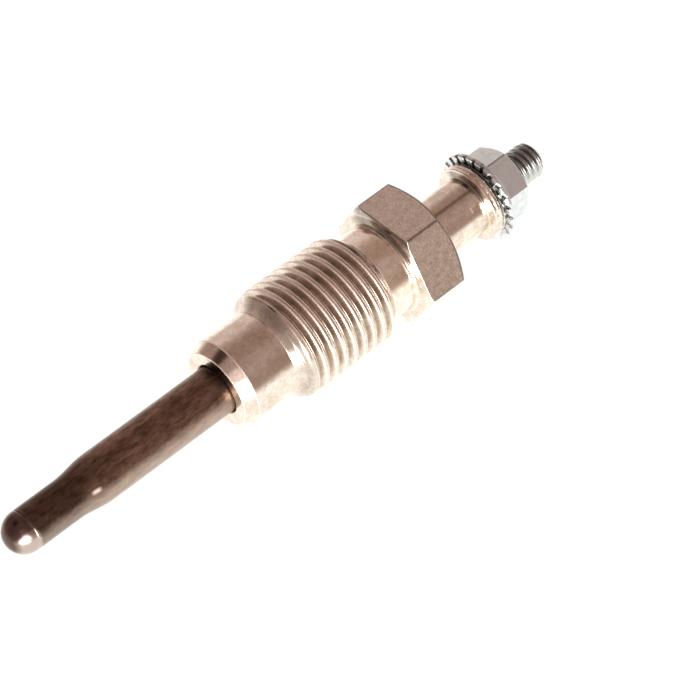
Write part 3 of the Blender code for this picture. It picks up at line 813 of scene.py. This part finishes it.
def oxide():
    """Dark brown heat oxide of the sheath, with painted light underneath, a painted highlight patch on the
    dome and painted shade near the nose.
    """
    shader = Shader("sheath_oxide")
    station = shader.station
    tip_rear = tip + TIP_LENGTH
    dome_end = tip + DOME_POLISH
    streaks = shader.vector(shader.math("MULTIPLY", shader.along, 0.12),
                            shader.math("MULTIPLY", shader.angle, 2.2), 0.0)
    streak = shader.noise(streaks, 3.0, 4.0, 0.6)
    stretched = shader.vector(shader.math("MULTIPLY", shader.along, 0.35), shader.across, shader.up)
    speckle = shader.noise(stretched, 2.2, 4.0, 0.7)
    grain = shader.noise(shader.place, 6.0, 3.0)
    height = shader.math("ADD", shader.height, shader.math("MULTIPLY", streak, 0.3))
    edge = shader.math("ADD", station, shader.math("MULTIPLY", grain, 0.5))

    dark = shader.blend(station, OXIDE_TIP, OXIDE_NOSE, tip_rear, (tip + nose) / 2)
    dark = shader.scale(dark, shader.both(shader.blend(streak, 0.85, 1.2, 0.35, 0.7),
                                          shader.blend(speckle, 0.58, 1.7, 0.35, 0.68)))
    # painted light on the underside of the sheath
    lit_underside = shader.blend(station, LIT_UNDERSIDE_TIP, LIT_UNDERSIDE_NOSE, tip_rear - 1.0, tip_rear + TIP_TAPER)
    lit_underside = shader.scale(lit_underside, shader.blend(speckle, 0.85, 1.15, 0.35, 0.68))
    tube = shader.blend(height, lit_underside, dark, 0.2, 0.72)
    # a light mark on the sheath
    light_mark = shader.both(shader.line(station, TUBE_LIGHT_MARK[0], 0.25, 0.6),
                       shader.sector(TUBE_LIGHT_MARK[1], 1.72, 6.88))
    tube = shader.blend(light_mark, tube, SHEATH_LIGHT_MARK)
    # painted highlight patch on the lower side of the dome
    dome_highlight = shader.both(shader.blend(height, 1.0, 0.0, 0.7, 0.9),
                         shader.blend(station, 0.0, 1.0, tip + 0.25, tip + 0.75))
    dome = shader.blend(dome_highlight, DOME_DARK, DOME_HIGHLIGHT)
    colour = shader.blend(edge, dome, tube, dome_end, dome_end + 0.25)
    # painted shade on the top of the sheath next to the nose
    nose_shade = shader.both(shader.blend(station, 0.0, 1.0, nose - 1.3, nose - 0.4),
                           shader.blend(height, 0.0, 1.0, 0.5, 0.8))
    colour = shader.scale(colour, shader.blend(nose_shade, 1.0, NOSE_SHADE_TONE))

    satin = shader.blend(grain, 0.28, 0.38, 0.3, 0.7)
    roughness = shader.blend(edge, 0.22, satin, dome_end, dome_end + 0.25)
    normal = shader.bump(grain, 0.3, 1.2e-5)
    return shader.finish(0.97, Base_Color=colour, Roughness=roughness, Normal=normal)


def zinc():
    """Grey zinc plate of the nut, with painted shadow between the upper teeth and a dark line at one upper
    corner.
    """
    shader = Shader("zinc_plate")
    cloud = shader.noise(shader.place, 1.6, 4.0)
    dark_line = shader.both(shader.sector(NUT_TURN + 60.0, 0.57, 1.72),
                       shader.above(shader.out, NUT_FLATS / 2))
    depth = shader.math("SUBTRACT", shader.station, nut_front)
    # painted shadow between the upper teeth of the flange
    tooth_shadow = shader.both(shader.blend(depth, 0.0, 1.0, 0.02, 0.08),
                       shader.below(depth, SERRATION_DEPTH * 1.7),
                       shader.below(shader.out, FLANGE_RADIUS - 0.02),
                       shader.above(shader.out, SERRATION_INNER - 0.02),
                       shader.sector(*TOOTH_SHADOW_SECTOR))
    tone = shader.both(shader.blend(dark_line, 1.0, ZINC_LINE_TONE), shader.blend(tooth_shadow, 1.0, TOOTH_SHADOW_TONE))
    colour = shader.scale(shader.blend(cloud, ZINC_LIGHT, ZINC_DARK, 0.3, 0.7), tone)
    roughness = shader.blend(cloud, 0.28, 0.4, 0.3, 0.7)
    normal = shader.bump(shader.noise(shader.place, 7.0, 3.0), 0.2, 1e-5)
    return shader.finish(1.0, Base_Color=colour, Roughness=roughness, Normal=normal)


def stud_steel():
    """Dark zinc plate of the stud, with painted light underneath."""
    shader = Shader("dark_zinc_plate")
    cloud = shader.noise(shader.place, 2.5, 3.0)
    colour = shader.blend(cloud, STUD_LIGHT, STUD_DARK, 0.3, 0.7)
    colour = shader.blend(shader.height, STUD_LIT_UNDERSIDE, colour, 0.3, 0.75)
    roughness = shader.blend(cloud, 0.14, 0.22, 0.3, 0.7)
    return shader.finish(1.0, Base_Color=colour, Roughness=roughness)


def black_bush():
    """Glossy black of the bush, greyed on its lower side by painted light."""
    shader = Shader("black_bush")
    colour = shader.blend(shader.height, BUSH_LIT_UNDERSIDE, BUSH_BLACK, 0.0, 0.5)
    return shader.finish(0.0, Base_Color=colour, Roughness=0.2, Coat_Weight=1.0)


def dull(name, low, high, roughness, metallic=0.0):
    """A plain material with a light cloud in its colour and a fine grain."""
    shader = Shader(name)
    cloud = shader.noise(shader.place, 3.0, 3.0)
    colour = shader.blend(cloud, low, high, 0.3, 0.7)
    rough = shader.blend(cloud, roughness - 0.06, roughness + 0.06, 0.3, 0.7)
    normal = shader.bump(shader.noise(shader.place, 9.0, 2.0), 0.2, 2e-5)
    return shader.finish(metallic, Base_Color=colour, Roughness=rough, Normal=normal)


def dress_inner_nodes():
    """Finishes of the pieces that stay hidden inside."""
    looks = {
        "magnesia_fill": dull("magnesia", (0.86, 0.84, 0.79), (0.78, 0.76, 0.71), 0.9),
        "heating_coil": dull("heating_wire", (0.45, 0.43, 0.42), (0.38, 0.36, 0.35), 0.4, 1.0),
        "regulating_coil": dull("regulating_wire", (0.55, 0.52, 0.50), (0.47, 0.45, 0.43), 0.35, 1.0),
        "tube_seal": dull("tube_seal_rubber", (0.10, 0.05, 0.04), (0.08, 0.04, 0.03), 0.8),
        "body_seal_ring": dull("ring_rubber", (0.03, 0.03, 0.03), (0.02, 0.02, 0.02), 0.7),
    }
    for node, look in looks.items():
        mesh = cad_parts[node].data
        mesh.materials.clear()
        mesh.materials.append(look)


def direction(azimuth, elevation):
    """Unit vector toward a place seen from the plug, with the camera's convention."""
    a = math.radians(azimuth)
    e = math.radians(elevation)
    return Vector((math.sin(a) * math.cos(e), -math.cos(a) * math.cos(e), math.sin(e)))


def make_camera():
    """Long lens at the photograph's viewing angle."""
    back = direction(CAMERA_AZIMUTH, CAMERA_ELEVATION)
    camera = bpy.data.objects.new("camera", bpy.data.cameras.new("camera"))
    camera.data.lens = CAMERA_LENS
    camera.data.sensor_width = CAMERA_SENSOR
    camera.data.clip_start = 0.01
    level = (-back).to_track_quat("-Z", "Y").to_matrix().to_4x4()
    roll = Matrix.Rotation(math.radians(CAMERA_ROLL), 4, "Z")
    place = Matrix.Translation(Vector(CAMERA_AIM) + back * CAMERA_DISTANCE)
    camera.matrix_world = place @ level @ roll
    bpy.context.scene.collection.objects.link(camera)
    bpy.context.scene.camera = camera


def make_floor():
    """Plain white floor, seen as lit from within, with a light shadow on it."""
    mesh = bpy.data.meshes.new("floor")
    shape = bmesh.new()
    bmesh.ops.create_grid(shape, x_segments=1, y_segments=1, size=FLOOR_SIZE)
    shape.to_mesh(mesh)
    shape.free()
    floor = bpy.data.objects.new("floor", mesh)
    bpy.context.scene.collection.objects.link(floor)
    material = bpy.data.materials.new("floor")
    material.use_nodes = True
    nodes = Nodes(material.node_tree)
    glow = nodes.add("Emission", {"Color": (1.0, 1.0, 1.0, 1.0), "Strength": FLOOR_GLOW})
    paint = nodes.add("BsdfDiffuse", {"Color": (*FLOOR_PAINT, 1.0)})
    mix = nodes.add("MixShader", {0: FLOOR_SHADOW, 1: glow.outputs[0], 2: paint.outputs[0]})
    nodes.connect(nodes.tree.nodes["Material Output"].inputs["Surface"], mix.outputs[0])
    mesh.materials.append(material)
    floor.visible_glossy = False
    floor.visible_diffuse = False
    floor.visible_shadow = False


def make_world():
    """White table below the horizon, dim warm room above it, and one window."""
    world = bpy.data.worlds.new("studio")
    bpy.context.scene.world = world
    world.use_nodes = True
    world.node_tree.nodes.clear()
    nodes = Nodes(world.node_tree)
    look = nodes.add("TexCoord").outputs["Generated"]

    def lobe(toward, inner, outer):
        """One inside a cone round a direction, falling to zero at its outer angle."""
        dot = nodes.add("VectorMath", {0: look, 1: toward}, operation="DOT_PRODUCT")
        span = {0: dot.outputs["Value"], 1: math.cos(math.radians(outer)), 2: math.cos(math.radians(inner))}
        return nodes.add("MapRange", span, interpolation_type="SMOOTHSTEP").outputs[0]

    up = Vector((0.0, 0.0, 1.0))
    colour = nodes.mix(lobe(up, *ROOM_TOP_SPREAD), ROOM_LOW, ROOM_TOP)
    for toward, inner, outer, light in ROOM:
        colour = nodes.mix(lobe(direction(*toward), inner, outer), colour, light)
    colour = nodes.mix(lobe(-up, *TABLE_SPREAD), colour, TABLE_LIGHT)
    for toward, inner, outer in WINDOW:
        colour = nodes.mix(lobe(direction(*toward), inner, outer), colour, WINDOW_LIGHT)
    seen = nodes.add("LightPath").outputs["Is Camera Ray"]
    glow = nodes.add("Background", {"Color": nodes.mix(seen, colour, (1.0, 1.0, 1.0))})
    nodes.add("OutputWorld", {"Surface": glow.outputs[0]})


def make_lamp():
    """One wide soft lamp overhead, for the floor and the dull pieces."""
    light = bpy.data.lights.new("overhead", "AREA")
    light.size = LAMP_SIZE
    light.energy = LAMP_POWER
    lamp = bpy.data.objects.new("overhead", light)
    lamp.location = LAMP_PLACE
    lamp.rotation_euler = (-lamp.location).to_track_quat("-Z", "Y").to_euler()
    lamp.visible_glossy = False
    bpy.context.scene.collection.objects.link(lamp)


make_camera()
make_floor()
make_world()
make_lamp()
make_body(nickel())
make_tube(oxide())
make_bush(black_bush())
make_rod(stud_steel())
make_nut(zinc())
dress_inner_nodes()

bpy.context.scene.view_settings.view_transform = "Standard"
